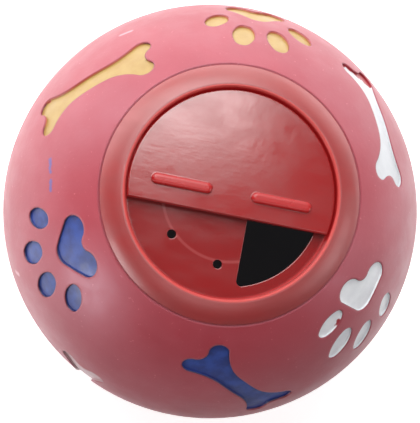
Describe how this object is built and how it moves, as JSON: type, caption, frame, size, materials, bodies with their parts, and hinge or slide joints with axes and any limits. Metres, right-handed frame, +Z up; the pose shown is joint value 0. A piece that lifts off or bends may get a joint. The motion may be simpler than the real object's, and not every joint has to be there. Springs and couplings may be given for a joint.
{
  "type": "treat ball",
  "caption": "Hollow vinyl ball for dog treats, with sunk paw prints and bones and a hard cup in its mouth whose half-moon disc turns over the food opening.",
  "frame": {"origin": "the ball's lowest point, on the axis of its mouth", "axes": "+Z up the axis of the mouth, +X along the disc's grips at rest, with the treat opening on its side"},
  "size_m": [0.11, 0.11, 0.1033],
  "materials": {
    "vinyl_skin": "semi-gloss soft vinyl, pinkish red",
    "cup_plastic": "semi-gloss hard plastic, deep red",
    "disc_plastic": "semi-gloss hard plastic, deep red"
  },
  "bodies": {
    "ball": {"ball_shell": "vinyl_skin", "insert_cup": "cup_plastic"},
    "selector": {"selector_disc": "disc_plastic"}
  },
  "joints": [
    {"name": "selector_turn", "type": "hinge", "parent": "ball", "child": "selector", "pos_m": [0, 0, 0.102], "axis": [0, 0, 1], "continuous": true}
  ]
}
